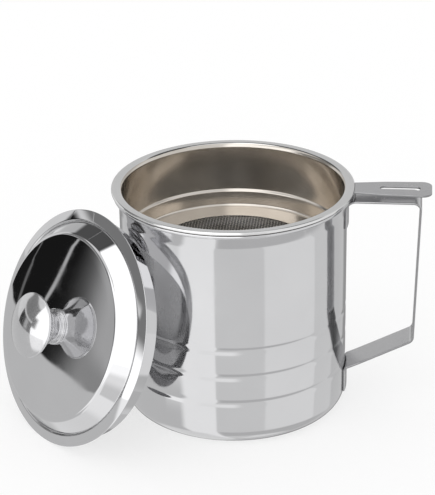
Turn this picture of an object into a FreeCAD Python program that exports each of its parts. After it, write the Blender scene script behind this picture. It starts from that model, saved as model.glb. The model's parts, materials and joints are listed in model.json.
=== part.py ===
# Grease keeper: a steel pot with a strip handle, a lift-out strainer and a domed lid.
# Millimetres. Origin at the centre of the pot's flat base, +Z up, handle towards +X.
# The strainer sits in the pot's mouth. The lid is off and leans against the pot's wall.
import FreeCAD, Part
import math
import os

# Pot
body_radius = 60.0
pot_wall = 0.6
base_corner = 9.0
bead_top = 122.1
bead_reach = 3.0
bead_height = 2.4
bead_edge = 1.2
flare_reach = 1.0
flare_height = 4.0
ring_heights = [25.5, 40.7, 55.9]
ring_width = 5.4
ring_depth = 0.4

# Strainer
strainer_wall = 0.5
strainer_gap = 0.9
flange_reach = 0.9
flange_height = 1.7
flange_hem = 1.6
flange_edge = 0.7
lip_radius = 2.5
basket_depth = 36.5
step_depths = [21.5, 29.5]
step_width = 2.5
step_height = 1.6
basket_corner = 6.0
floor_ring_width = 10.0
seat_gap = 0.2

# Flats that stand for each rounded bend
bend_flat_count = 3

# Mesh floor and the ring that clamps it
mesh_wire = 0.8
mesh_pitch = 7.0
mesh_thickness = 0.5
mesh_grip = 3.0
clamp_thickness = 0.6
clamp_gap = 0.03

# Finger tab on the strainer
tab_thickness = 1.0
tab_drop = 0.2
tab_overlap = 1.0
tab_tip_x = 104.0
tab_root_half = 6.6
tab_tip_half = 9.8
tab_waist_x = 80.0
tab_waist_half = 8.8
tab_corner = 5.0
slot_start_x = 77.0
slot_end_x = 94.0
slot_width = 4.7

# Strip handle
strap_thickness = 1.0
strap_width = 19.0
strap_drop = 2.6
strap_outer_x = 99.2
strap_lean = 2.4
strap_lower_z = 39.5
strap_root_z = 21.5
strap_bend = 4.0
foot_bend = 2.2
upper_bend = 4.6
foot_straight = 1.0
upper_foot_length = 15.5
lower_foot_end_z = 8.0
weld_gap = 0.03

# Lid, with its own origin at the centre of the plane it rests on
lid_wall = 0.6
lid_reach = 4.0
lid_edge_height = 1.8
lid_edge_break = 1.0
lid_ring_width = 5.6
crease_depth = 0.8
crease_width = 0.8
dome_rise = 1.5
dome_flat_count = 2
seat_margin = 1.0
shoulder_width = 6.6
shoulder_height = 8.5
skirt_depth = 10.0
skirt_wall = 0.4
plug_clearance = 0.5
skirt_flange = 2.6

# Knob
knob_foot_radius = 9.4
knob_foot_height = 1.6
foot_edge = 0.6
neck_radius = 8.4
neck_top_radius = 16.0
neck_length = 12.8
flare_power = 1.7
flare_flat_count = 4
cap_radius = 16.9
cap_edge = 1.6
cap_edge_slant = 0.5
cap_dome = 5.2
cap_flat_count = 3
insert_radius = 4.5
thread_radius = 2.0
fit = 0.05
screw_hole_gap = 0.2
screw_head_radius = 4.2
screw_head_height = 2.2
screw_grip = 12.0
washer_radius = 6.0
washer_thickness = 0.8

# How the lid leans on the pot
lid_tilt = 20.4
lid_facing = 222.8
lid_bearing = 207.6
lean_gap = 0.3


def point(r, z):
    return FreeCAD.Vector(r, 0, z)


# Corners are (r, z), or (r, z, radius) for one that is bent round.
def outline(corners):
    spots = [point(corner[0], corner[1]) for corner in corners]
    path = []
    for i, corner in enumerate(corners):
        if len(corner) == 2:
            path.append(spots[i])
            continue
        radius = corner[2]
        before = (spots[i - 1] - spots[i]).normalize()
        after = (spots[(i + 1) % len(spots)] - spots[i]).normalize()
        half = before.getAngle(after) / 2
        reach = radius / math.tan(half)
        inward = (before + after).normalize()
        middle = spots[i] + inward * (radius / math.sin(half) - radius)
        bend = Part.Arc(spots[i] + before * reach, middle, spots[i] + after * reach)
        path += bend.toShape().discretize(bend_flat_count + 1)
    return Part.makePolygon(path + path[:1])


def turned(corners):
    face = Part.Face(outline(corners))
    return face.revolve(FreeCAD.Vector(0, 0, 0), FreeCAD.Vector(0, 0, 1), 360)


def ring_dents(radius):
    dents = []
    for height in ring_heights:
        dents.append((radius, height - ring_width / 2))
        dents.append((radius - ring_depth, height))
        dents.append((radius, height + ring_width / 2))
    return dents


def pot_shell():
    inner = body_radius - pot_wall
    bead_radius = body_radius + bead_reach
    bead_bottom = bead_top - bead_height
    corners = [(0, 0), (body_radius, 0, base_corner)]
    corners += ring_dents(body_radius)
    corners += [
        (body_radius, bead_bottom - flare_height),
        (body_radius + flare_reach, bead_bottom),
        (bead_radius, bead_bottom),
        (bead_radius, bead_top - bead_edge),
        (bead_radius - bead_edge, bead_top),
        (inner + flare_reach, bead_top),
        (inner, bead_bottom - flare_height),
    ]
    corners += reversed(ring_dents(inner))
    corners += [(inner, pot_wall, base_corner - pot_wall), (0, pot_wall)]
    return turned(corners)


basket_outer = body_radius - pot_wall - strainer_gap
basket_inner = basket_outer - strainer_wall
flange_radius = body_radius + bead_reach + flange_reach
flange_bottom = bead_top + seat_gap
flange_top = flange_bottom + flange_height
floor_top = flange_top - basket_depth
floor_bottom = floor_top - strainer_wall
floor_radius = basket_inner - step_width * len(step_depths)
mesh_hole = floor_radius - floor_ring_width


def strainer_basket():
    inside = []
    outside = []
    radius = basket_inner
    for depth in step_depths:
        top = flange_top - depth
        inside += [(radius, top), (radius - step_width, top - step_height)]
        outside += [(radius + strainer_wall, top), (radius - step_width + strainer_wall, top - step_height)]
        radius -= step_width
    outer_corner = basket_corner + strainer_wall
    corners = [
        (flange_radius, flange_bottom),
        (flange_radius, flange_top - flange_edge),
        (flange_radius - flange_edge, flange_top),
        (basket_inner, flange_top, lip_radius),
    ]
    corners += inside
    corners += [(radius, floor_top, basket_corner), (mesh_hole, floor_top), (mesh_hole, floor_bottom)]
    corners += [(radius + strainer_wall, floor_bottom, outer_corner)]
    corners += reversed(outside)
    corners += [
        (basket_outer, flange_top - strainer_wall),
        (flange_radius - flange_hem, flange_top - strainer_wall),
        (flange_radius - flange_hem, flange_bottom),
    ]
    return turned(corners)


def strainer_mesh():
    top = floor_bottom - clamp_gap
    radius = mesh_hole + mesh_grip
    rim = Part.Wire(Part.makeCircle(radius, FreeCAD.Vector(0, 0, top - mesh_thickness)))
    gap = mesh_pitch - mesh_wire
    wires = [rim]
    steps = int(radius // mesh_pitch) + 1
    for i in range(-steps, steps + 1):
        for j in range(-steps, steps + 1):
            x = i * mesh_pitch
            y = j * mesh_pitch
            if math.hypot(abs(x) + gap / 2, abs(y) + gap / 2) > mesh_hole:
                continue
            low = FreeCAD.Vector(x - gap / 2, y - gap / 2, top - mesh_thickness)
            sides = [low, low + FreeCAD.Vector(gap, 0, 0), low + FreeCAD.Vector(gap, gap, 0)]
            sides += [low + FreeCAD.Vector(0, gap, 0), low]
            wires.append(Part.makePolygon(sides))
    face = Part.Face(wires, "Part::FaceMakerBullseye")
    return face.extrude(FreeCAD.Vector(0, 0, mesh_thickness))


def mesh_ring():
    top = floor_bottom - mesh_thickness - 2 * clamp_gap
    outer = mesh_hole + mesh_grip + clamp_thickness + clamp_gap
    lip = floor_bottom - clamp_gap
    return turned([
        (mesh_hole, top - clamp_thickness),
        (outer, top - clamp_thickness),
        (outer, lip),
        (outer - clamp_thickness, lip),
        (outer - clamp_thickness, top),
        (mesh_hole, top),
    ])


def slab(points, thickness):
    face = Part.Face(Part.Wire(points))
    return face.extrude(FreeCAD.Vector(0, 0, thickness))


def strainer_tab():
    z = flange_top - tab_drop - tab_thickness
    mirror = [
        (flange_radius - tab_overlap, -tab_root_half),
        (tab_waist_x, -tab_waist_half),
        (tab_tip_x - 2 * tab_corner, -tab_tip_half),
        (tab_tip_x, -tab_tip_half),
    ]
    low = [FreeCAD.Vector(x, y, z) for x, y in mirror]
    high = [FreeCAD.Vector(x, -y, z) for x, y in mirror]
    edges = [
        Part.LineSegment(low[0], low[1]).toShape(),
        Part.LineSegment(low[1], low[2]).toShape(),
    ]
    turn = tab_corner * (1 - math.sqrt(0.5))
    near = FreeCAD.Vector(tab_tip_x - tab_corner, -tab_tip_half, z)
    far = FreeCAD.Vector(tab_tip_x, -tab_tip_half + tab_corner, z)
    middle = FreeCAD.Vector(tab_tip_x - turn, -tab_tip_half + turn, z)
    edges.append(Part.LineSegment(low[2], near).toShape())
    edges.append(Part.Arc(near, middle, far).toShape())
    flip = FreeCAD.Matrix()
    flip.A22 = -1
    other = [edge.transformGeometry(flip) for edge in reversed(edges)]
    edges.append(Part.LineSegment(far, FreeCAD.Vector(far.x, -far.y, z)).toShape())
    edges += other
    edges.append(Part.LineSegment(high[0], low[0]).toShape())
    plate = slab(Part.__sortEdges__(edges), tab_thickness)
    half = slot_width / 2
    slot = Part.makeBox(slot_end_x - slot_start_x - slot_width, slot_width, 3 * tab_thickness,
                        FreeCAD.Vector(slot_start_x + half, -half, z - tab_thickness))
    for x in (slot_start_x + half, slot_end_x - half):
        end = Part.makeCylinder(half, 3 * tab_thickness, FreeCAD.Vector(x, 0, z - tab_thickness))
        slot = slot.fuse(end)
    rim = Part.makeCylinder(flange_radius + weld_gap, 3 * tab_thickness,
                            FreeCAD.Vector(0, 0, z - tab_thickness))
    return plate.cut(slot.fuse(rim)).removeSplitter()


# A flat strip bent along a centre line, each bend with its own middle radius.
def bent_strip(line, bends, thickness, width):
    spots = [point(*p) for p in line]
    half = thickness / 2
    sides = {1: [], -1: []}
    for side in sides:
        last = None
        for i, spot in enumerate(spots):
            ahead = (spots[min(i + 1, len(spots) - 1)] - spots[min(i, len(spots) - 2)]).normalize()
            normal = FreeCAD.Vector(-ahead.z, 0, ahead.x) * (half * side)
            if i in (0, len(spots) - 1):
                here = spot + normal
                if last:
                    sides[side].append(Part.LineSegment(last, here).toShape())
                last = here
                continue
            before = (spots[i - 1] - spot).normalize()
            turn = before.getAngle(ahead) / 2
            reach = bends[i - 1] / math.tan(turn)
            inward = (before + ahead).normalize()
            centre = spot + inward * (bends[i - 1] / math.sin(turn))
            start = spot + before * reach
            out = (start - centre).normalize()
            same = 1 if inward.dot(normal) < 0 else -1
            radius = bends[i - 1] + same * half
            first = centre + out * radius
            middle = centre - inward * radius
            second = centre + (spot + ahead * reach - centre).normalize() * radius
            sides[side].append(Part.LineSegment(last, first).toShape())
            sides[side].append(Part.Arc(first, middle, second).toShape())
            last = second
    ends = []
    for near in (0, -1):
        a = spots[near]
        b = spots[1] if near == 0 else spots[-2]
        along = (b - a).normalize()
        normal = FreeCAD.Vector(-along.z, 0, along.x) * half
        ends.append(Part.LineSegment(a + normal, a - normal).toShape())
    wire = Part.Wire(Part.__sortEdges__(sides[1] + sides[-1] + ends))
    strip = Part.Face(wire).extrude(FreeCAD.Vector(0, width, 0))
    strip.translate(FreeCAD.Vector(0, -width / 2, 0))
    return strip


def weld_foot(low, high):
    inner = body_radius + weld_gap
    tall = high - low
    foot = Part.makeCylinder(inner + strap_thickness, tall, FreeCAD.Vector(0, 0, low))
    foot = foot.cut(Part.makeCylinder(inner, tall, FreeCAD.Vector(0, 0, low)))
    window = Part.makeBox(2 * body_radius, strap_width, tall, FreeCAD.Vector(0, -strap_width / 2, low))
    return foot.common(window)


strap_top = bead_top - strap_drop


def handle_strap():
    half = strap_thickness / 2
    wall_x = body_radius + weld_gap + half
    top = strap_top - half
    outer = strap_outer_x - half
    straight = foot_bend + foot_straight
    line = [
        (wall_x, top - upper_bend - foot_straight),
        (wall_x, top),
        (outer, top),
        (outer - strap_lean, strap_lower_z),
        (wall_x, strap_root_z),
        (wall_x, strap_root_z - straight),
    ]
    bends = [upper_bend, strap_bend, strap_bend, foot_bend]
    strip = bent_strip(line, bends, strap_thickness, strap_width)
    clear = Part.makeCylinder(body_radius + weld_gap, bead_top)
    strip = strip.cut(clear)
    upper = weld_foot(strap_top - upper_foot_length, line[0][1] + foot_straight)
    lower = weld_foot(lower_foot_end_z, line[-1][1] + foot_straight)
    return strip.fuse([upper, lower]).removeSplitter()


lid_radius = basket_inner + lid_reach
ring_inner = lid_radius - lid_ring_width
crease_radius = ring_inner - crease_width
shoulder_radius = crease_radius - shoulder_width
crease_top = lid_edge_height - crease_depth
shoulder_top = crease_top + shoulder_height
shoulder_slope = math.atan2(shoulder_height, shoulder_width)
sheet_shift = lid_wall * math.tan(shoulder_slope / 2)
dome_top = shoulder_top + dome_rise
dome_under = dome_top - lid_wall
hole_radius = thread_radius + screw_hole_gap
skirt_outer = basket_inner - plug_clearance
knob_seat = dome_top
knob_foot_top = knob_seat + knob_foot_height
neck_top = knob_foot_top + neck_length


# Points from a dome's flat middle down to its rim.
def dome(inner, outer, top, drop, flats):
    path = []
    for step in range(flats + 1):
        share = step / flats
        path.append((inner + (outer - inner) * share, top - drop * share ** 2))
    return path


def lid_shell():
    seat = knob_foot_radius + seat_margin
    edge_inner = lid_radius - lid_edge_height
    ring_under = lid_edge_height - lid_wall
    corners = [(hole_radius, dome_top)]
    corners += dome(seat, shoulder_radius, dome_top, dome_rise, dome_flat_count)
    corners += [
        (crease_radius, crease_top),
        (ring_inner, lid_edge_height),
        (lid_radius - lid_edge_break, lid_edge_height),
        (lid_radius, lid_edge_height - lid_edge_break),
        (lid_radius, 0),
        (edge_inner, 0),
        (edge_inner, ring_under),
        (ring_inner + lid_wall / 2, ring_under),
        (crease_radius - sheet_shift, crease_top - lid_wall),
    ]
    inner = shoulder_radius - sheet_shift
    corners += reversed(dome(seat, inner, dome_under, dome_rise, dome_flat_count))
    corners += [(hole_radius, dome_under)]
    return turned(corners)


def lid_skirt():
    top = lid_edge_height - lid_wall - weld_gap
    return turned([
        (skirt_outer - skirt_wall, -skirt_depth),
        (skirt_outer, -skirt_depth),
        (skirt_outer, top - skirt_wall),
        (skirt_outer + skirt_flange, top - skirt_wall),
        (skirt_outer + skirt_flange, top),
        (skirt_outer - skirt_wall, top),
    ])


def knob_base():
    bore = insert_radius + fit
    return turned([
        (bore, knob_seat),
        (knob_foot_radius, knob_seat),
        (knob_foot_radius, knob_foot_top - foot_edge),
        (knob_foot_radius - foot_edge, knob_foot_top),
        (bore, knob_foot_top),
    ])


def knob_neck():
    bore = insert_radius + fit
    corners = [(bore, knob_foot_top)]
    for step in range(flare_flat_count + 1):
        up = step / flare_flat_count
        out = (neck_top_radius - neck_radius) * up ** flare_power
        corners.append((neck_radius + out, knob_foot_top + neck_length * up))
    corners.append((bore, neck_top))
    return turned(corners)


def knob_cap():
    edge = neck_top + cap_edge
    corners = dome(0, cap_radius, edge + cap_dome, cap_dome, cap_flat_count)
    corners += [(cap_radius - cap_edge_slant, neck_top), (0, neck_top)]
    return turned(corners)


def knob_insert():
    return turned([
        (thread_radius + fit, knob_seat),
        (insert_radius, knob_seat),
        (insert_radius, neck_top - fit),
        (thread_radius + fit, neck_top - fit),
    ])


def knob_washer():
    return turned([
        (hole_radius, dome_under - washer_thickness),
        (washer_radius, dome_under - washer_thickness),
        (washer_radius, dome_under),
        (hole_radius, dome_under),
    ])


def knob_screw():
    seat = dome_under - washer_thickness
    return turned([
        (0, seat - screw_head_height),
        (screw_head_radius, seat - screw_head_height),
        (screw_head_radius, seat),
        (thread_radius, seat),
        (thread_radius, knob_seat + screw_grip),
        (0, knob_seat + screw_grip),
    ])


# The least distance from the pot's axis to the skirt's free edge, with the lid's
# centre at the given distance from that axis.
def skirt_reach(distance):
    tilt = math.radians(lid_tilt)
    facing = math.radians(lid_facing)
    bearing = math.radians(lid_bearing)
    out = FreeCAD.Vector(math.cos(tilt) * math.cos(facing), math.cos(tilt) * math.sin(facing),
                         math.sin(tilt))
    centre = FreeCAD.Vector(distance * math.cos(bearing), distance * math.sin(bearing), 0)
    edge = centre - out * skirt_depth
    across = FreeCAD.Vector(-math.sin(facing), math.cos(facing), 0)
    rise = out.cross(across)
    least = distance
    for step in range(720):
        angle = math.radians(step / 2)
        spot = edge + (across * math.cos(angle) + rise * math.sin(angle)) * skirt_outer
        least = min(least, math.hypot(spot.x, spot.y))
    return least


def lid_place():
    near = body_radius
    far = 3 * body_radius
    for _ in range(40):
        middle = (near + far) / 2
        if skirt_reach(middle) < body_radius + lean_gap:
            near = middle
        else:
            far = middle
    tilt = math.radians(lid_tilt)
    bearing = math.radians(lid_bearing)
    height = lid_radius * math.cos(tilt)
    spot = FreeCAD.Vector(far * math.cos(bearing), far * math.sin(bearing), height)
    tip = FreeCAD.Rotation(FreeCAD.Vector(0, 1, 0), 90 - lid_tilt)
    turn = FreeCAD.Rotation(FreeCAD.Vector(0, 0, 1), lid_facing)
    return FreeCAD.Placement(spot, turn.multiply(tip))


def main():
    os.makedirs("parts", exist_ok=True)
    standing = [pot_shell, handle_strap, strainer_basket, strainer_mesh, mesh_ring, strainer_tab]
    leaning = [lid_shell, lid_skirt, knob_base, knob_neck, knob_cap, knob_insert, knob_washer,
               knob_screw]
    place = lid_place()
    print("lid at", place.Base, "facing out along", place.Rotation.multVec(FreeCAD.Vector(0, 0, 1)))
    for make in standing + leaning:
        shape = make()
        if make in leaning:
            shape = shape.transformed(place.toMatrix())
        solid = shape.Solids[0]
        print(make.__name__, len(shape.Solids), shape.isValid(), round(shape.Volume / 1000, 3))
        solid.exportStep("parts/" + make.__name__ + ".step")


main()
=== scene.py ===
import bmesh
import bpy
import json
import math
from mathutils import Matrix, Vector


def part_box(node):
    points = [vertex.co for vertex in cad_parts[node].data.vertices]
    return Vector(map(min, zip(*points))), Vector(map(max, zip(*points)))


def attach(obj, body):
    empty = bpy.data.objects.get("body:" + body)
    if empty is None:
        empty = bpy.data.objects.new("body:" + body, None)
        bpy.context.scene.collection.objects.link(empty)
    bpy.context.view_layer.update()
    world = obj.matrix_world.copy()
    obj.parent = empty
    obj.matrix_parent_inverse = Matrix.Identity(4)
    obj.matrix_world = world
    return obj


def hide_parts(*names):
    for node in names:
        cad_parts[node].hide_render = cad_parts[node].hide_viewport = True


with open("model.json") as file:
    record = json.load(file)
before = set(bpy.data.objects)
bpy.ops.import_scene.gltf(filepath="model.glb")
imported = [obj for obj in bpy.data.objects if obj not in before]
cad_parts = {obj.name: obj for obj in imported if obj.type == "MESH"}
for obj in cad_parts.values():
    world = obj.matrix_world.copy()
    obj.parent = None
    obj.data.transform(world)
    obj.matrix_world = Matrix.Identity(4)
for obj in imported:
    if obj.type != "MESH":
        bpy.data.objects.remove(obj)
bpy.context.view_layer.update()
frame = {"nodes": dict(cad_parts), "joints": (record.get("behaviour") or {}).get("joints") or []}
print("frame loaded:", sorted(frame["nodes"]))

mm = 0.001


# Shader helpers

# A number on a socket. Arithmetic on it adds the Math nodes.
class Num:
    def __init__(self, finish, socket):
        self.finish = finish
        self.socket = socket

    def maths(self, operation, *values):
        return self.finish.node("ShaderNodeMath", {"operation": operation}, values)

    def __add__(self, other):
        return self.maths("ADD", self, other)

    def __radd__(self, other):
        return self.maths("ADD", other, self)

    def __sub__(self, other):
        return self.maths("SUBTRACT", self, other)

    def __rsub__(self, other):
        return self.maths("SUBTRACT", other, self)

    def __mul__(self, other):
        return self.maths("MULTIPLY", self, other)

    def __rmul__(self, other):
        return self.maths("MULTIPLY", other, self)

    def __pow__(self, other):
        return self.maths("POWER", self, other)

    def __rpow__(self, other):
        return self.maths("POWER", other, self)

    # 0 below low, 1 above high, smooth between
    def ramp(self, low, high, start=0.0, end=1.0):
        return self.finish.node("ShaderNodeMapRange", {"interpolation_type": "SMOOTHSTEP"},
                                {"Value": self, "From Min": low, "From Max": high,
                                 "To Min": start, "To Max": end})

    # this value where the mask is 0, the other one where it is 1
    def towards(self, other, mask):
        return self + (other - self) * mask

    # 1 between low and high, with edges as soft as given
    def band(self, low, high, soft):
        return self.ramp(low - soft, low + soft) * (1 - self.ramp(high - soft, high + soft))


# One node tree. Every node that isn't arithmetic comes from "node", which takes its type,
# its settings, and the values or links of its sockets.
class Finish:
    def __init__(self, tree):
        self.tree = tree
        tree.nodes.clear()

    def node(self, kind, settings=None, inputs=(), output=0):
        made = self.tree.nodes.new(kind)
        for name, value in (settings or {}).items():
            setattr(made, name, value)
        pairs = inputs.items() if isinstance(inputs, dict) else enumerate(inputs)
        for key, value in pairs:
            socket = made.inputs[key]
            if isinstance(value, Num):
                self.tree.links.new(value.socket, socket)
            else:
                socket.default_value = value
        return Num(self, made.outputs[output]) if made.outputs else None

    def mixColour(self, share, first, second):
        return self.node("ShaderNodeMix", {"data_type": "RGBA"}, {0: share, 6: first, 7: second}, 2)

    def scaled(self, vector, by):
        return self.node("ShaderNodeVectorMath", {"operation": "MULTIPLY"}, (vector, by))

    def noise(self, vector, scale, detail=2.0, rough=0.5):
        return self.node("ShaderNodeTexNoise", {},
                         {"Vector": vector, "Scale": scale, "Detail": detail, "Roughness": rough})

    # a vector's three parts, as numbers
    def parts(self, vector):
        split = self.node("ShaderNodeSeparateXYZ", {}, (vector,)).socket.node
        return [Num(self, socket) for socket in split.outputs]

    # what each metal finish ends in, with a bump that follows the height in metres
    def metal(self, colour, roughness, height, metallic=1.0):
        bump = self.node("ShaderNodeBump", {}, {"Strength": 1.0, "Distance": 1.0, "Height": height})
        shader = self.node("ShaderNodeBsdfPrincipled", {},
                           {"Base Color": colour, "Metallic": metallic, "Roughness": roughness,
                            "Normal": bump})
        self.node("ShaderNodeOutputMaterial", {}, (shader,))


def newMaterial(name):
    material = bpy.data.materials.new(name)
    material.use_nodes = True
    return material, Finish(material.node_tree)


def rgb(r, g, b):
    return (r, g, b, 1.0)


# Finishes

# Rolled and polished steel. "spot" is a vector kept on each mesh: the place in the
# piece's own turning frame, so that the polish lines run round its axis.
def polishedSteel(name, look):
    material, f = newMaterial(name)
    spot = f.node("ShaderNodeAttribute", {"attribute_name": "spot"}, {}, 1)
    x, y, z = f.parts(spot)
    section = f.node("ShaderNodeCombineXYZ", {}, ((x * x + y * y) ** 0.5, z, 0.0))
    lines = f.noise(section, look["lineScale"], detail=3, rough=0.65)
    clouds = f.noise(spot, look["cloudScale"], detail=4, rough=0.55)
    swell = f.noise(spot, look["swellScale"], detail=1, rough=0.4)
    smudges = f.noise(spot, look["smudgeScale"], detail=5, rough=0.6).ramp(*look["smudgeRange"])
    smudges = smudges * f.noise(spot, look["wanderScale"])
    haze = f.noise(spot, look["hazeScale"], detail=3, rough=0.7).ramp(*look["hazeRange"])
    tone = (clouds - 0.5) * look["toneSpread"] + (lines - 0.5) * look["lineTone"] + 0.5
    roughness = (look["roughness"] + (lines - 0.5) * look["lineRoughness"]
                 + smudges * look["smudge"] + haze * look["haze"])
    f.metal(f.mixColour(tone, look["dark"], look["light"]), roughness,
            lines * look["lineDepth"] + swell * look["swellDepth"])
    return material


steelLook = {
    "dark": rgb(0.60, 0.60, 0.61),
    "light": rgb(0.72, 0.72, 0.73),
    "roughness": 0.075,
    "lineScale": 2600.0,
    "lineTone": 0.25,
    "lineRoughness": 0.05,
    "lineDepth": 0.0000015,
    "cloudScale": 24.0,
    "toneSpread": 0.7,
    "smudge": 0.10,
    "smudgeScale": 46.0,
    "smudgeRange": (0.52, 0.72),
    "wanderScale": 34.0,
    "haze": 0.0,
    "hazeScale": 3000.0,
    "hazeRange": (0.5, 0.62),
    "swellScale": 16.0,
    "swellDepth": 0.00005,
}
potSteel = polishedSteel("potSteel", steelLook)
lidSteel = polishedSteel("lidSteel", {
    **steelLook,
    "roughness": 0.025,
    "lineDepth": 0.00000012,
    "lineRoughness": 0.02,
    "smudge": 0.05,
    "swellDepth": 0.00002,
})
lidInside = polishedSteel("lidInside", {
    **steelLook,
    "dark": rgb(0.52, 0.52, 0.53),
    "light": rgb(0.64, 0.64, 0.65),
    "roughness": 0.24,
    "lineTone": 0.4,
})
# The strainer's warm, brownish tone is a painted reflection of its dark inside and of the food it held.
strainerPaintedReflection = polishedSteel("strainerPaintedReflection", {
    **steelLook,
    "dark": rgb(0.51, 0.47, 0.42),
    "light": rgb(0.77, 0.73, 0.68),
    "roughness": 0.17,
    "lineTone": 0.4,
    "toneSpread": 1.2,
})
# The flange's lighter copy of the strainer's steel: painted light, brighter than the steel itself.
flangePaintedLight = polishedSteel("flangePaintedLight", {
    **steelLook,
    "dark": rgb(0.74, 0.74, 0.74),
    "light": rgb(0.88, 0.88, 0.88),
    "roughness": 0.07,
    "lineTone": 0.4,
    "lineDepth": 0.0000004,
})
knobSteel = polishedSteel("knobSteel", {
    **steelLook,
    "roughness": 0.04,
    "swellDepth": 0.000005,
    "lineScale": 4200.0,
    "lineDepth": 0.0000002,
    "haze": 0.28,
    "hazeScale": 9000.0,
})


# Sheet metal with a brushed grain along one direction, for the strap and the tab.
def brushedSteel(name, look):
    material, f = newMaterial(name)
    spot = f.node("ShaderNodeTexCoord", {}, {}, 3)
    grain = f.noise(f.scaled(spot, look["grain"]), 1.0, detail=4, rough=0.6)
    clouds = f.noise(spot, look["cloudScale"], detail=4, rough=0.6)
    scuffs = f.noise(spot, look["scuffScale"], detail=6, rough=0.7).ramp(*look["scuffRange"])
    tone = (grain - 0.5) * look["grainTone"] + (clouds - 0.5) * look["cloudTone"] + 0.5
    roughness = look["roughness"] + (grain - 0.5) * look["grainRoughness"] + scuffs * look["scuff"]
    f.metal(f.mixColour(tone, look["dark"], look["light"]), roughness,
            grain * look["grainDepth"] + clouds * look["cloudDepth"])
    return material


sheetLook = {
    "dark": rgb(0.56, 0.56, 0.57),
    "light": rgb(0.70, 0.70, 0.71),
    "grain": (60, 2200, 60),
    "grainTone": 0.5,
    "grainRoughness": 0.12,
    "grainDepth": 0.000003,
    "roughness": 0.24,
    "cloudScale": 40.0,
    "cloudTone": 0.6,
    "cloudDepth": 0.00006,
    "scuff": 0.06,
    "scuffScale": 150.0,
    "scuffRange": (0.55, 0.75),
}
strapSteel = brushedSteel("strapSteel", sheetLook)
tabSteel = brushedSteel("tabSteel", {
    **sheetLook,
    "dark": rgb(0.50, 0.50, 0.51),
    "light": rgb(0.66, 0.66, 0.67),
    "grain": (70, 2200, 70),
    "grainTone": 0.45,
    "roughness": 0.22,
})
# The sheet's cut edges: rough like a sheared edge, and painted near black, a painted shade for the dark
# lines along the edges and round the slot.
shearedEdgeAndShade = brushedSteel("shearedEdgeAndShade", {
    **sheetLook,
    "dark": rgb(0.22, 0.22, 0.225),
    "light": rgb(0.38, 0.38, 0.385),
    "grain": (90, 90, 3000),
    "grainTone": 0.6,
    "grainDepth": 0.000004,
    "roughness": 0.34,
})


# Drawn wire: round, a little dull, with darker stains.
def wireSteel(name, look):
    material, f = newMaterial(name)
    spot = f.node("ShaderNodeTexCoord", {}, {}, 3)
    stain = f.noise(spot, look["stainScale"], detail=5, rough=0.6).ramp(*look["stainRange"])
    fine = f.noise(spot, look["fineScale"])
    tone = stain * look["stainTone"] + (fine - 0.5) * look["fineTone"]
    f.metal(f.mixColour(tone, look["clean"], look["stained"]),
            look["roughness"] + stain * look["stainRoughness"], fine * look["fineDepth"])
    return material


meshSteel = wireSteel("meshSteel", {
    "clean": rgb(0.56, 0.55, 0.53),
    "stained": rgb(0.36, 0.33, 0.29),
    "stainScale": 60.0,
    "stainRange": (0.35, 0.75),
    "stainTone": 0.7,
    "stainRoughness": 0.15,
    "fineScale": 2400.0,
    "fineTone": 0.3,
    "fineDepth": 0.000004,
    "roughness": 0.28,
})


# Painted shade for the seams where sheet meets sheet: a dull, near-black colour that stands in for the
# shadow in the narrow gaps.
def paintedShadeMetal(name, look):
    material, f = newMaterial(name)
    spot = f.node("ShaderNodeTexCoord", {}, {}, 3)
    shadeNoise = f.noise(spot, look["shadeScale"], detail=5, rough=0.65).ramp(*look["shadeRange"])
    f.metal(f.mixColour(shadeNoise, look["dark"], look["light"]),
            look["roughness"] + shadeNoise * look["shadeRoughness"], shadeNoise * look["shadeDepth"],
            look["metallic"])
    return material


# painted shade: the dark colour of the gaps between the parts
paintedSeamShade = paintedShadeMetal("paintedSeamShade", {
    "dark": rgb(0.045, 0.042, 0.038),
    "light": rgb(0.11, 0.10, 0.09),
    "metallic": 0.6,
    "shadeScale": 260.0,
    "shadeRange": (0.3, 0.7),
    "shadeRoughness": 0.2,
    "shadeDepth": 0.00001,
    "roughness": 0.45,
})


# Small turned parts inside the knob and under the lid.
def turnedMetal(name, look):
    material, f = newMaterial(name)
    spot = f.node("ShaderNodeTexCoord", {}, {}, 3)
    marks = f.noise(spot, look["markScale"], rough=0.6)
    tarnish = f.noise(spot, look["tarnishScale"], detail=4, rough=0.6).ramp(*look["tarnishRange"])
    f.metal(f.mixColour((marks + tarnish) * 0.5, look["light"], look["dark"]),
            look["roughness"] + tarnish * look["tarnishRoughness"], marks * look["markDepth"])
    return material


turnedLook = {
    "dark": rgb(0.42, 0.42, 0.43),
    "light": rgb(0.66, 0.66, 0.67),
    "roughness": 0.26,
    "markScale": 900.0,
    "markDepth": 0.000004,
    "tarnishScale": 300.0,
    "tarnishRange": (0.45, 0.8),
    "tarnishRoughness": 0.12,
}
screwSteel = turnedMetal("screwSteel", turnedLook)
brassTurned = turnedMetal("brassTurned", {
    **turnedLook,
    "dark": rgb(0.52, 0.36, 0.14),
    "light": rgb(0.80, 0.62, 0.30),
    "roughness": 0.22,
})
print("finishes made")


# Mesh helpers

# Corners are (r, z), or (r, z, radius) for a rounded one, in mm. A quarter turn gets the
# given number of steps.
def roundedLine(corners, closed, steps=8):
    count = len(corners)
    path = []
    for i, corner in enumerate(corners):
        here = Vector(corner[:2])
        if len(corner) == 2 or (not closed and i in (0, count - 1)):
            path.append(here)
            continue
        before = (Vector(corners[i - 1][:2]) - here).normalized()
        after = (Vector(corners[(i + 1) % count][:2]) - here).normalized()
        half = before.angle(after) / 2
        reach = corner[2] / math.tan(half)
        centre = here + (before + after).normalized() * (corner[2] / math.sin(half))
        first = here + before * reach - centre
        last = here + after * reach - centre
        sweep = first.angle(last)
        number = max(2, math.ceil(steps * sweep / (math.pi / 2)))
        for step in range(number + 1):
            share = step / number
            arm = first * math.sin((1 - share) * sweep) + last * math.sin(share * sweep)
            path.append(centre + arm / math.sin(sweep))
    return [(p.x, p.y) for p in path]


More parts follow.
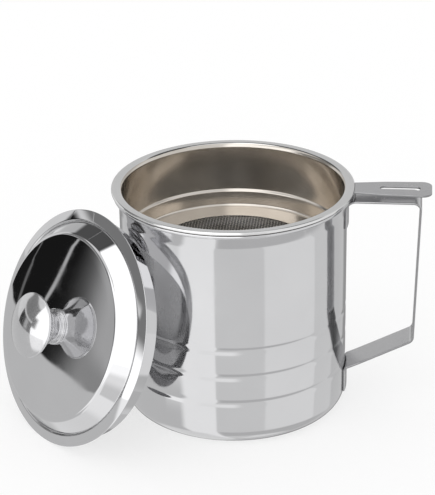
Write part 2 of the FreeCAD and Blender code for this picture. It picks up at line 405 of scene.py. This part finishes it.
# The same line with its long runs cut into even pieces no longer than the given length.
# The last point is left to the next run.
def evenPieces(line, longest):
    cut = []
    for start, end in zip(line, line[1:]):
        number = max(1, math.ceil(math.dist(start, end) / longest))
        for k in range(number):
            share = k / number
            cut.append((start[0] + (end[0] - start[0]) * share, start[1] + (end[1] - start[1]) * share))
    return cut


# Turns a closed section round an axis. Points with r = 0 close on the axis.
def lathe(name, section, place, material, body, nodes, segments=256, sharp=32):
    local, rows, faces = [], [], []
    for r, z in section:
        if r == 0:
            rows.append([len(local)])
            local.append(Vector((0, 0, z * mm)))
            continue
        rows.append(list(range(len(local), len(local) + segments)))
        for k in range(segments):
            turn = 2 * math.pi * k / segments
            local.append(Vector((r * mm * math.cos(turn), r * mm * math.sin(turn), z * mm)))
    for i, row in enumerate(rows):
        following = rows[(i + 1) % len(rows)]
        if len(row) == 1 and len(following) == 1:
            continue
        for k in range(segments):
            n = (k + 1) % segments
            if len(row) == 1:
                faces.append((row[0], following[n], following[k]))
            elif len(following) == 1:
                faces.append((row[k], row[n], following[0]))
            else:
                faces.append((row[k], row[n], following[n], following[k]))
    return finishMesh(name, [place @ p for p in local], faces, local, material, body, nodes, sharp)


# The places on a mesh in the piece's own turning frame, which its finish reads.
def keepSpots(mesh, spots):
    kept = mesh.attributes.new("spot", "FLOAT_VECTOR", "POINT")
    kept.data.foreach_set("vector", [value for p in spots for value in p])


# Makes a piece from its corners and faces, on its body and in place of its CAD nodes.
# Edges sharper than the given angle in degrees stay crisp.
def finishMesh(name, spots, faces, local, material, body, nodes, sharp=32):
    mesh = bpy.data.meshes.new(name)
    mesh.from_pydata(spots, [], faces)
    mesh.update()
    keepSpots(mesh, local)
    mesh.shade_smooth()
    mesh.set_sharp_from_angle(angle=math.radians(sharp))
    mesh.materials.append(material)
    piece = bpy.data.objects.new(name, mesh)
    bpy.context.scene.collection.objects.link(piece)
    fixNormals(mesh)
    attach(piece, body)
    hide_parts(*nodes)
    return piece


def fixNormals(mesh):
    work = bmesh.new()
    work.from_mesh(mesh)
    bmesh.ops.recalc_face_normals(work, faces=work.faces)
    work.to_mesh(mesh)
    work.free()


# Gives another finish to the faces that pass a test, in the piece's own turning frame:
# the middle's radius and height in mm, and how far the face looks outwards and upwards.
def paintFaces(piece, place, material, chosen):
    piece.data.materials.append(material)
    slot = len(piece.data.materials) - 1
    back = place.inverted()
    for face in piece.data.polygons:
        middle = back @ face.center / mm
        look = back.to_3x3() @ face.normal
        radius = math.hypot(middle.x, middle.y)
        outwards = (look.x * middle.x + look.y * middle.y) / max(radius, 0.01)
        if chosen(radius, middle.z, outwards, look.z):
            face.material_index = slot


upright = Matrix.Identity(4)


# The pot

pot = {
    "radius": 60.0,
    "wall": 0.6,
    "baseCorner": 9.0,
    "beadTop": 122.1,
    "beadHeight": 2.4,
    "beadReach": 3.0,
    "flareReach": 1.0,
    "flareHeight": 6.5,
    "flareRound": 14.0,
    "beadUnderRound": 0.9,
    "beadTopRound": 1.15,
    "lipRound": 0.35,
    "creaseRound": 0.3,
    "wallStart": 20.0,
    "wallEnd": 80.0,
    "ringHeights": (25.5, 40.7, 55.9),
    "ringWidth": 5.4,
    "ringDepth": 0.2,
    "ringSteps": 12,
    "seamHeight": 0.55,
    "seamInset": 1.2,
}


# A pressed ring's smooth hollow, from below to above.
def ringHollow(radius, height):
    hollow = []
    for step in range(pot["ringSteps"] + 1):
        share = step / pot["ringSteps"]
        depth = pot["ringDepth"] * math.sin(math.pi * share) ** 2
        hollow.append((radius - depth, height + (share - 0.5) * pot["ringWidth"]))
    return hollow


def buildPot():
    outer = pot["radius"]
    inner = outer - pot["wall"]
    start, end = pot["wallStart"], pot["wallEnd"]
    beadBottom = pot["beadTop"] - pot["beadHeight"]
    beadRadius = outer + pot["beadReach"]
    flareLow = beadBottom - pot["flareHeight"]
    section = roundedLine([(0, 0), (outer, 0, pot["baseCorner"]), (outer, start)], False, 14)[:-1]
    for height in pot["ringHeights"]:
        section += ringHollow(outer, height)
    section += roundedLine([
        (outer, end), (outer, flareLow, pot["flareRound"]),
        (outer + pot["flareReach"], beadBottom, pot["creaseRound"]),
        (beadRadius, beadBottom, pot["beadUnderRound"]),
        (beadRadius, pot["beadTop"], pot["beadTopRound"]),
        (inner + pot["flareReach"], pot["beadTop"], pot["lipRound"]),
        (inner, flareLow, pot["flareRound"]), (inner, end),
    ], False, 8)
    for height in reversed(pot["ringHeights"]):
        section += reversed(ringHollow(inner, height))
    section += roundedLine([(inner, start), (inner, pot["wall"], pot["baseCorner"] - pot["wall"]),
                            (0, pot["wall"])], False, 14)[1:]
    body = lathe("potBody", section, upright, potSteel, "pot", ["pot_shell"])
    seamZ = pot["beadTop"] - pot["seamHeight"]

    # painted shade where the strainer's flange rests, and in the crease under the bead
    def inSeam(r, z, out, up):
        onBead = z > seamZ and r > inner + pot["seamInset"]
        inCrease = abs(z - beadBottom) < pot["creaseRound"] and outer < r < outer + pot["beadReach"] / 2
        return onBead or inCrease

    paintFaces(body, upright, paintedSeamShade, inSeam)


buildPot()


# The strip handle

strap = {
    "thickness": 1.0,
    "width": 19.0,
    "topZ": 119.5,
    "outerX": 99.2,
    "lean": 2.4,
    "lowerZ": 39.5,
    "rootZ": 21.5,
    "bend": 4.0,
    "footBend": 2.2,
    "upperBend": 4.6,
    "upperFootEnd": 104.0,
    "lowerFootEnd": 8.0,
    "edge": 0.3,
    "weldGap": 0.03,
    "alongStep": 2.5,
    "acrossStep": 1.2,
    "hugReach": 7.0,
    "hugPower": 0.6,
}


def buildStrap():
    half = strap["thickness"] / 2
    wallX = pot["radius"] + strap["weldGap"] + half
    top = strap["topZ"] - half
    outer = strap["outerX"] - half
    line = roundedLine([
        (wallX, strap["upperFootEnd"]), (wallX, top, strap["upperBend"]), (outer, top, strap["bend"]),
        (outer - strap["lean"], strap["lowerZ"], strap["bend"]),
        (wallX, strap["rootZ"], strap["footBend"]), (wallX, strap["lowerFootEnd"]),
    ], False, 10)
    # long straight runs are cut too, so that the feet can follow the round wall
    stations = evenPieces(line, strap["alongStep"]) + line[-1:]
    # the section across the strap: (across, out), a flat bar with softened edges
    edge = strap["edge"]
    wide = strap["width"] / 2
    ring = roundedLine([(-wide, -half, edge), (wide, -half, edge), (wide, half, edge),
                        (-wide, half, edge)], True, 4)
    cross = evenPieces(ring + ring[:1], strap["acrossStep"])
    spots, faces = [], []
    wall = pot["radius"] + strap["weldGap"]
    for i, (x, z) in enumerate(stations):
        ahead = Vector(stations[min(i + 1, len(stations) - 1)]) - Vector(stations[max(i - 1, 0)])
        ahead.normalize()
        away = Vector((-ahead.y, ahead.x))
        hug = 1 - min(1, max(0, (x - wallX) / strap["hugReach"])) ** strap["hugPower"]
        for across, out in cross:
            sag = (wall - math.sqrt(wall * wall - across * across)) * hug
            spots.append(Vector(((x - away.x * out - sag) * mm, across * mm, (z - away.y * out) * mm)))
    count = len(cross)
    for i in range(len(stations) - 1):
        for k in range(count):
            n = (k + 1) % count
            faces.append((i * count + k, i * count + n, (i + 1) * count + n, (i + 1) * count + k))
    faces.append(tuple(range(count)))
    faces.append(tuple(range(len(spots) - count, len(spots))))
    strip = finishMesh("handleStrip", spots, faces, spots, strapSteel, "pot", ["handle_strap"], 40)
    # the strap's edges: sheared and rough, with painted shade
    paintFaces(strip, upright, shearedEdgeAndShade, lambda r, z, out, up: abs(out) < 0.5 and abs(up) < 0.5)


buildStrap()
print("pot and handle made")


# The strainer

strainer = {
    "wall": 0.5,
    "outer": 58.5,
    "flangeRadius": 63.9,
    "flangeBottom": 122.3,
    "flangeTop": 124.0,
    "hem": 1.6,
    "lipRadius": 2.5,
    "depth": 36.5,
    "stepDepths": (27.0,),
    "stepWidth": 1.3,
    "stepHeight": 1.0,
    "stepRound": 0.45,
    "corner": 1.5,
    "floorRing": 13.7,
    "holeRound": 0.1,
    "flangeTopRound": 0.85,
    "flangeLowRound": 0.5,
    "hemRound": 0.3,
    "hemRootRound": 0.2,
    "hangRound": 1.6,
    "brightFrom": 0.8,
    "shadeHeight": 0.12,
}


def buildStrainer():
    s = strainer
    wall = s["wall"]
    inner = s["outer"] - wall
    top = s["flangeTop"]
    low = s["flangeBottom"]
    rim = s["flangeRadius"]
    floorTop = top - s["depth"]
    inside, outside = [], []
    radius = inner
    for depth in s["stepDepths"]:
        inside += [(radius, top - depth, s["stepRound"]),
                   (radius - s["stepWidth"], top - depth - s["stepHeight"], s["stepRound"] + wall)]
        outside += [(radius + wall, top - depth, s["stepRound"] + wall),
                    (radius - s["stepWidth"] + wall, top - depth - s["stepHeight"], s["stepRound"])]
        radius -= s["stepWidth"]
    hole = radius - s["floorRing"]
    hem = rim - s["hem"]
    corners = [(rim, low, s["flangeLowRound"]), (rim, top, s["flangeTopRound"]),
               (inner, top, s["lipRadius"])]
    corners += inside
    corners += [(radius, floorTop, s["corner"]), (hole, floorTop, s["holeRound"]),
                (hole, floorTop - wall, s["holeRound"]),
                (radius + wall, floorTop - wall, s["corner"] + wall)]
    corners += reversed(outside)
    corners += [(s["outer"], top - wall, s["hangRound"]), (hem, top - wall, s["hemRootRound"]),
                (hem, low, s["hemRound"])]
    section = roundedLine(corners, True, 10)
    basket = lathe("strainerBasket", section, upright, strainerPaintedReflection, "strainer", ["strainer_basket"])
    # the wide flange gets a lighter copy of the steel, painted light that makes it brighter than the
    # basket's inside, and it is dark where it lies on the pot
    bright = s["outer"] + s["brightFrom"]
    paintFaces(basket, upright, flangePaintedLight, lambda r, z, out, up: r > bright)
    # painted shade on the flange's underside where it lies on the pot
    paintFaces(basket, upright, paintedSeamShade, lambda r, z, out, up: r > bright and z < low + s["shadeHeight"])


buildStrainer()

weave = {
    "pitch": 1.6,
    "wire": 0.3,
    "wave": 0.09,
    "radius": 45.6,
    "middleZ": 86.72,
    "sides": 5,
}


# Plain weave: each wire rises over one crossing wire and dips under the next.
def buildWeave():
    spots, faces = [], []
    pitch = weave["pitch"]
    sides = weave["sides"]
    wires = int(weave["radius"] // pitch)
    for along in (0, 1):
        for i in range(-wires, wires + 1):
            offset = i * pitch
            reach = math.sqrt(weave["radius"] ** 2 - offset ** 2)
            halves = int(reach // (pitch / 2))
            sign = 1 if (i + along) % 2 == 0 else -1
            first = len(spots)
            for j in range(-halves, halves + 1):
                t = j * pitch / 2
                rise = weave["wave"] * sign * math.cos(math.pi * t / pitch)
                for k in range(sides):
                    turn = 2 * math.pi * k / sides
                    aside = offset + weave["wire"] / 2 * math.cos(turn)
                    z = weave["middleZ"] + rise + weave["wire"] / 2 * math.sin(turn)
                    x, y = (t, aside) if along == 0 else (aside, t)
                    spots.append(Vector((x * mm, y * mm, z * mm)))
            last = len(spots) - sides
            for row in range(first, last, sides):
                for k in range(sides):
                    a, b = row + k, row + (k + 1) % sides
                    faces.append((a, b, b + sides, a + sides))
            faces.append(tuple(range(first, first + sides)))
            faces.append(tuple(range(last, last + sides)))
    finishMesh("wovenFloor", spots, faces, spots, meshSteel, "strainer", ["strainer_mesh"], 60)


buildWeave()

tab = {
    "top": 123.8,
    "thickness": 1.0,
    "rootHalf": 6.6,
    "waistX": 80.0,
    "waistHalf": 8.8,
    "waistRound": 30.0,
    "tipX": 104.0,
    "tipHalf": 9.8,
    "corner": 5.0,
    "slotStart": 77.0,
    "slotEnd": 98.0,
    "slotWidth": 4.7,
    "edge": 0.25,
    "weldGap": 0.03,
    "rootSteps": 7,
}


def buildTab():
    t = tab
    rim = strainer["flangeRadius"] + t["weldGap"]
    rootX = math.sqrt(rim ** 2 - t["rootHalf"] ** 2)
    plan = roundedLine([
        (t["waistX"], -t["waistHalf"], t["waistRound"]), (t["tipX"], -t["tipHalf"], t["corner"]),
        (t["tipX"], t["tipHalf"], t["corner"]), (t["waistX"], t["waistHalf"], t["waistRound"]),
        (rootX, t["rootHalf"]), (rootX, -t["rootHalf"]),
    ], True, 12)
    # the root follows the flange's round edge
    steps = t["rootSteps"]
    turns = [math.asin(t["rootHalf"] / rim) * k / (steps + 1) for k in range(steps, -steps - 1, -1)]
    plan = plan[:-1] + [(rim * math.cos(a), rim * math.sin(a)) for a in turns] + plan[-1:]
    # the slot's ends are very nearly half circles
    half = t["slotWidth"] / 2
    bend = half * 0.999
    slot = roundedLine([(t["slotStart"], -half, bend), (t["slotStart"], half, bend),
                        (t["slotEnd"], half, bend), (t["slotEnd"], -half, bend)], True, 12)
    curve = bpy.data.curves.new("tabPlan", "CURVE")
    curve.dimensions = "2D"
    curve.fill_mode = "BOTH"
    curve.extrude = (t["thickness"] / 2 - t["edge"]) * mm
    curve.bevel_depth = t["edge"] * mm
    curve.bevel_resolution = 3
    curve.offset = -t["edge"] * mm
    for points in (plan, slot):
        spline = curve.splines.new("POLY")
        spline.points.add(len(points) - 1)
        for spot, (x, y) in zip(spline.points, points):
            spot.co = (x * mm, y * mm, 0, 1)
        spline.use_cyclic_u = True
    holder = bpy.data.objects.new("tabPlan", curve)
    bpy.context.scene.collection.objects.link(holder)
    bpy.context.view_layer.update()
    shape = bpy.data.meshes.new_from_object(holder.evaluated_get(bpy.context.evaluated_depsgraph_get()))
    bpy.data.objects.remove(holder)
    lift = (t["top"] - t["thickness"] / 2) * mm
    spots = [v.co + Vector((0, 0, lift)) for v in shape.vertices]
    faces = [tuple(p.vertices) for p in shape.polygons]
    plate = finishMesh("fingerTab", spots, faces, spots, tabSteel, "strainer", ["strainer_tab"], 40)
    # the tab's edges and slot: sheared and rough, with painted shade
    paintFaces(plate, upright, shearedEdgeAndShade, lambda r, z, out, up: abs(up) < 0.6)


buildTab()
print("strainer made")


# The lid, turned round its own axis

lid = {
    "wall": 0.6,
    "radius": 62.0,
    "edgeHeight": 1.8,
    "ringWidth": 5.6,
    "ringFall": 1.4,
    "ringCurve": 0.1,
    "ringSteps": 8,
    "ringRootRound": 0.7,
    "ringUnderRound": 0.4,
    "hemTopRound": 0.25,
    "hemLowRound": 0.2,
    "hemInnerRound": 0.1,
    "creaseDepth": 0.8,
    "creaseWidth": 0.8,
    "creaseRound": 0.5,
    "creaseUnderRound": 0.9,
    "shoulderWidth": 6.6,
    "shoulderHeight": 8.5,
    "shoulderRound": 3.2,
    "domeRise": 1.5,
    "domeMargin": 6.0,
    "domeSteps": 14,
    "seat": 10.4,
    "hole": 2.2,
    "skirtOuter": 57.5,
    "skirtWall": 0.4,
    "skirtDepth": 10.0,
    "skirtFlange": 2.6,
    "skirtGap": 0.03,
    "skirtEdgeRound": 0.12,
    "skirtBendRound": 0.35,
    "skirtInnerRound": 0.5,
    "skirtFlangeRound": 0.1,
}
knob = {
    "footRadius": 9.4,
    "footHeight": 1.6,
    "footRound": 0.55,
    "footLowRound": 0.2,
    "neckRadius": 8.4,
    "neckTopRadius": 16.0,
    "neckLength": 12.8,
    "neckSteps": 32,
    "flarePower": 1.7,
    "capRadius": 16.9,
    "capEdge": 1.6,
    "capSlant": 0.5,
    "capDome": 5.2,
    "capSteps": 23,
    "capTopRound": 0.5,
    "capLowRound": 0.4,
    "capDrop": 0.1,
    "capInset": 1.0,
    "bore": 4.55,
    "insertEnd": 0.05,
}
creaseRadius = lid["radius"] - lid["ringWidth"] - lid["creaseWidth"]
creaseTop = lid["edgeHeight"] - lid["creaseDepth"]
shoulderRadius = creaseRadius - lid["shoulderWidth"]
shoulderTop = creaseTop + lid["shoulderHeight"]
sheetShift = lid["wall"] * math.tan(math.atan2(lid["shoulderHeight"], lid["shoulderWidth"]) / 2)
domeTop = shoulderTop + lid["domeRise"]
footTopZ = domeTop + knob["footHeight"]
neckTopZ = footTopZ + knob["neckLength"]

# the insert stands on the knob's seat, so its middle gives the lid's own origin
pull = next(joint for joint in frame["joints"] if joint["name"] == "lid_pull")
lidAxis = Vector(pull["axis"]).normalized()
insertLow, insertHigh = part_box("knob_insert")
insertMiddle = (domeTop + neckTopZ - knob["insertEnd"]) / 2
lidCentre = (insertLow + insertHigh) / 2 - lidAxis * insertMiddle * mm
lidPlace = Matrix.Translation(lidCentre) @ lidAxis.to_track_quat("Z", "Y").to_matrix().to_4x4()


# Height of the lid's shallow middle over the plane that it rests on.
def lidTop(radius):
    if radius <= lid["seat"]:
        return domeTop
    share = (radius - lid["seat"]) / (shoulderRadius - lid["seat"])
    return domeTop - lid["domeRise"] * share ** 2


# The ring round the lid falls away outwards, a little steeper towards its edge.
def ringDrop(radius):
    share = max(0.0, 1 - (lid["radius"] - radius) / lid["ringWidth"])
    return lid["ringFall"] * ((1 - lid["ringCurve"]) * share + lid["ringCurve"] * share ** 2)


def buildLid():
    edge = lid["edgeHeight"]
    radius = lid["radius"]
    wall = lid["wall"]
    ringInner = radius - lid["ringWidth"]
    hem = radius - edge

    def ringTop(r):
        return edge - ringDrop(r)

    steps = lid["ringSteps"]
    ring = [ringInner + (radius - ringInner) * k / steps for k in range(1, steps)]
    under = [r for r in reversed(ring) if r < hem]
    steps = lid["domeSteps"]
    domeEdge = shoulderRadius - lid["domeMargin"]
    dome = [lid["seat"] + (domeEdge - lid["seat"]) * k / steps for k in range(steps + 1)]
    section = [(lid["hole"], domeTop)] + [(r, lidTop(r)) for r in dome]
    section += roundedLine([
        (domeEdge, lidTop(domeEdge)), (shoulderRadius, shoulderTop, lid["shoulderRound"]),
        (creaseRadius, creaseTop, lid["creaseRound"]), (ringInner, edge, lid["ringRootRound"]),
        *[(r, ringTop(r)) for r in ring], (radius, ringTop(radius), lid["hemTopRound"]),
        (radius, 0, lid["hemLowRound"]), (hem, 0, lid["hemInnerRound"]), (hem, ringTop(hem) - wall),
        *[(r, ringTop(r) - wall) for r in under],
        (ringInner + wall / 2, ringTop(ringInner + wall / 2) - wall, lid["ringUnderRound"]),
        (creaseRadius - sheetShift, creaseTop - wall, lid["creaseUnderRound"]),
        (shoulderRadius - sheetShift, shoulderTop - wall, lid["shoulderRound"] - wall),
        (domeEdge, lidTop(domeEdge) - wall),
    ], False, 12)[1:]
    section += [(r, lidTop(r) - wall) for r in reversed(dome[:-1])]
    section += [(lid["hole"], domeTop - wall)]
    shell = lathe("lidDome", section, lidPlace, lidSteel, "lid", ["lid_shell"], 288)
    paintFaces(shell, lidPlace, lidInside, lambda r, z, out, up: up < -0.05)


def buildSkirt():
    outer = lid["skirtOuter"]
    inner = outer - lid["skirtWall"]
    end = outer + lid["skirtFlange"]

    # the skirt's flange follows the ring's underside
    def flangeTop(r):
        return lid["edgeHeight"] - lid["wall"] - lid["skirtGap"] - ringDrop(r)

    section = roundedLine([
        (inner, -lid["skirtDepth"], lid["skirtEdgeRound"]),
        (outer, -lid["skirtDepth"], lid["skirtEdgeRound"]),
        (outer, flangeTop(outer) - lid["skirtWall"], lid["skirtBendRound"]),
        (end, flangeTop(end) - lid["skirtWall"], lid["skirtFlangeRound"]),
        (end, flangeTop(end), lid["skirtFlangeRound"]), (inner, flangeTop(inner), lid["skirtInnerRound"]),
    ], True, 5)
    skirt = lathe("lidRing", section, lidPlace, lidSteel, "lid", ["lid_skirt"], 256)
    paintFaces(skirt, lidPlace, lidInside, lambda r, z, out, up: out < -0.5)


def buildKnob():
    bore = knob["bore"]
    radius = knob["footRadius"]
    foot = roundedLine([(bore, domeTop), (radius, domeTop, knob["footLowRound"]),
                        (radius, footTopZ, knob["footRound"]), (bore, footTopZ)], True, 8)
    lathe("knobFoot", foot, lidPlace, knobSteel, "lid", ["knob_base"], 192, 50)
    neck = [(bore, footTopZ)]
    for step in range(knob["neckSteps"] + 1):
        up = step / knob["neckSteps"]
        out = (knob["neckTopRadius"] - knob["neckRadius"]) * up ** knob["flarePower"]
        neck.append((knob["neckRadius"] + out, footTopZ + knob["neckLength"] * up))
    neck.append((bore, neckTopZ))
    lathe("knobNeck", neck, lidPlace, knobSteel, "lid", ["knob_neck"], 192, 50)
    edge = neckTopZ + knob["capEdge"]
    wide = knob["capRadius"]
    cap = [(0, edge + knob["capDome"])]
    for step in range(1, knob["capSteps"] + 1):
        r = (wide - knob["capTopRound"]) * step / knob["capSteps"]
        cap.append((r, edge + knob["capDome"] * (1 - (r / wide) ** 2)))
    cap += roundedLine([cap[-1], (wide, edge - knob["capDrop"], knob["capTopRound"]),
                        (wide - knob["capSlant"], neckTopZ, knob["capLowRound"]),
                        (knob["neckTopRadius"] - knob["capInset"], neckTopZ)], False, 6)[1:]
    cap.append((0, neckTopZ))
    lathe("knobCap", cap, lidPlace, knobSteel, "lid", ["knob_cap"], 192, 50)


buildLid()
buildSkirt()
buildKnob()
print("lid made")


# The CAD nodes that show as they are

keptFinishes = {
    # the mesh's ring shares the strainer's warm painted reflection
    "mesh_ring": strainerPaintedReflection,
    "knob_insert": brassTurned,
    "knob_screw": screwSteel,
    "knob_washer": screwSteel,
}
for nodeName, finish in keptFinishes.items():
    mesh = frame["nodes"][nodeName].data
    mesh.materials.clear()
    mesh.materials.append(finish)
    keepSpots(mesh, [v.co for v in mesh.vertices])


# Floor, light and camera

# For the camera the floor is a pale surface that takes the shadow. Other rays pass, so
# that the steel reflects the studio below the horizon in clean upright bands.
floorLook = {
    "half": 6.0,
    "colour": rgb(0.97, 0.97, 0.97),
    "glow": 0.68,
}


def buildFloor():
    mesh = bpy.data.meshes.new("studioFloor")
    half = floorLook["half"]
    mesh.from_pydata([(-half, -half, 0), (half, -half, 0), (half, half, 0), (-half, half, 0)], [],
                     [(0, 1, 2, 3)])
    material, f = newMaterial("studioFloor")
    cameraRay = f.node("ShaderNodeLightPath")
    pale = f.node("ShaderNodeBsdfDiffuse", {}, {"Color": floorLook["colour"]})
    glow = f.node("ShaderNodeEmission", {}, {"Color": rgb(1, 1, 1), "Strength": 1.0})
    seen = f.node("ShaderNodeMixShader", {}, {0: floorLook["glow"], 1: pale, 2: glow})
    clear = f.node("ShaderNodeBsdfTransparent")
    both = f.node("ShaderNodeMixShader", {}, {0: cameraRay, 1: clear, 2: seen})
    f.node("ShaderNodeOutputMaterial", {}, (both,))
    mesh.materials.append(material)
    floor = bpy.data.objects.new("studioFloor", mesh)
    bpy.context.scene.collection.objects.link(floor)


buildFloor()

# The room that the steel reflects, by direction: azimuth in degrees from the handle's
# side, elevation in degrees. A card is (start, softness, end, softness, low, high,
# softness, level), and a later card covers an earlier one. A line is a thin bright edge in
# the dark wall: (azimuth, elevation where it begins to lean, lean, half width, level).
studio = {
    "plain": 1.0,
    "horizon": -4.0,
    "horizonSoft": 0.2,
    "above": 0.85,
    "aboveCards": [
        (40, 10, 130, 10, 4, 44, 4, 0.60),
        (25, 6, 150, 6, 46, 67, 2, 0.06),
        (100, 10, 290, 6, 68, 91, 1.5, 1.6),
        (150, 3, 199, 0.5, 16, 38.5, 1.5, 0.25),
        (158.5, 1.5, 199, 0.5, -20, 13.5, 0.8, 0.22),
        (117, 2, 150, 3, 26, 66, 3, 0.10),
        (178, 3, 188, 2, -20, 12.5, 1, 0.50),
        (174, 2, 188, 2, -20, -1, 1.5, 0.33),
        (158.5, 1, 175.5, 3.2, -20, 12.5, 0.5, 0.012),
        (199, 0.5, 238, 0.6, -20, 52, 1.0, 1.6),
        (198, 1, 209, 4, 8, 25, 3, 0.26),
        (238, 0.6, 283, 3, -20, 76, 1.5, 1.6),
    ],
    "below": 0.66,
    "belowCards": [
        (219, 4, 256, 1.2, -90, 0, 0.4, 1.10),
        (256, 1.2, 306, 1.5, -90, 0, 0.4, 0.78),
        (306, 1.5, 361, 0.5, -90, 0, 0.4, 0.92),
        (-1, 0.5, 6, 1.5, -90, 0, 0.4, 0.92),
        (6, 1.5, 34, 2, -90, 0, 0.4, 0.79),
        (66, 4, 122, 6, -60, 0, 3, 0.34),
        (240, 4, 278, 6, -23, 0, 4, 1.05),
        (199, 1, 222, 2, -26, 0, 4, 1.20),
        (226, 3, 283, 3, -13, 0, 3, 1.45),
        (258, 3, 361, 5, -64, -36, 2, 0.60),
        (-1, 0.5, 34, 5, -64, -36, 2, 0.60),
        (100, 10, 240, 12, -91, -52, 4, 0.90),
    ],
    "lineTop": (48, 52),
    "lines": [
        (171.3, 14, 1.42, 0.35, 0.55),
        (166.0, 0, 0.62, 0.35, 0.18),
    ],
}


def buildStudio():
    world = bpy.data.worlds.new("studio")
    bpy.context.scene.world = world
    world.use_nodes = True
    f = Finish(world.node_tree)
    direction = f.node("ShaderNodeTexCoord", {}, {}, 0)
    x, y, z = f.parts(direction)
    turn = f.node("ShaderNodeMath", {"operation": "ARCTAN2"}, (y, x)) * math.degrees(1)
    azimuth = f.node("ShaderNodeMath", {"operation": "FLOORED_MODULO"}, (turn, 360.0))
    elevation = f.node("ShaderNodeMath", {"operation": "ARCSINE"}, (z,)) * math.degrees(1)

    def hang(light, cards):
        for start, startSoft, end, endSoft, low, high, soft, level in cards:
            across = (azimuth.ramp(start - startSoft, start + startSoft)
                      * azimuth.ramp(end - endSoft, end + endSoft, 1.0, 0.0))
            light = light + (level - light) * (across * elevation.band(low, high, soft))
        return light

    above = hang(studio["above"], studio["aboveCards"])
    below = hang(studio["below"], studio["belowCards"])
    for middle, bendFrom, lean, width, level in studio["lines"]:
        over = f.node("ShaderNodeMath", {"operation": "MAXIMUM"}, (elevation - bendFrom, 0.0))
        aside = azimuth - middle + over * lean
        edge = (1 - (aside * aside).ramp(0, width * width)) * (1 - elevation.ramp(*studio["lineTop"]))
        above = above.towards(level, edge)
    horizon, soft = studio["horizon"], studio["horizonSoft"]
    light = below.towards(above, elevation.ramp(horizon - soft, horizon + soft))
    # the camera and matt surfaces see a plain pale room
    cameraRay = f.node("ShaderNodeLightPath")
    diffuseRay = Num(f, cameraRay.socket.node.outputs["Is Diffuse Ray"])
    strength = light.towards(studio["plain"], (cameraRay + diffuseRay).ramp(0, 1))
    background = f.node("ShaderNodeBackground", {}, {"Color": rgb(1, 1, 1), "Strength": strength})
    f.node("ShaderNodeOutputWorld", {}, (background,))


buildStudio()

camera = {
    "azimuth": 6.0,
    "elevation": 24.4,
    "distance": 1043.5,
    "target": (-8.51, -0.89, 87.44),
    "roll": -0.87,
    "lens": 142.6,
}


def buildCamera():
    turn = math.radians(camera["azimuth"])
    lift = math.radians(camera["elevation"])
    roll = math.radians(camera["roll"])
    back = Vector((math.sin(turn) * math.cos(lift), -math.cos(turn) * math.cos(lift), math.sin(lift)))
    right = (-back).cross(Vector((0, 0, 1))).normalized()
    up = right.cross(-back)
    across = right * math.cos(roll) + up * math.sin(roll)
    over = up * math.cos(roll) - right * math.sin(roll)
    data = bpy.data.cameras.new("camera")
    data.lens = camera["lens"]
    data.clip_end = 20
    eye = bpy.data.objects.new("camera", data)
    eye.matrix_world = Matrix((
        (across.x, over.x, back.x, 0), (across.y, over.y, back.y, 0), (across.z, over.z, back.z, 0),
        (0, 0, 0, 1)))
    eye.location = Vector(camera["target"]) * mm + back * camera["distance"] * mm
    bpy.context.scene.collection.objects.link(eye)
    bpy.context.scene.camera = eye


buildCamera()
bpy.context.scene.view_settings.view_transform = "Standard"
print("studio and camera made")
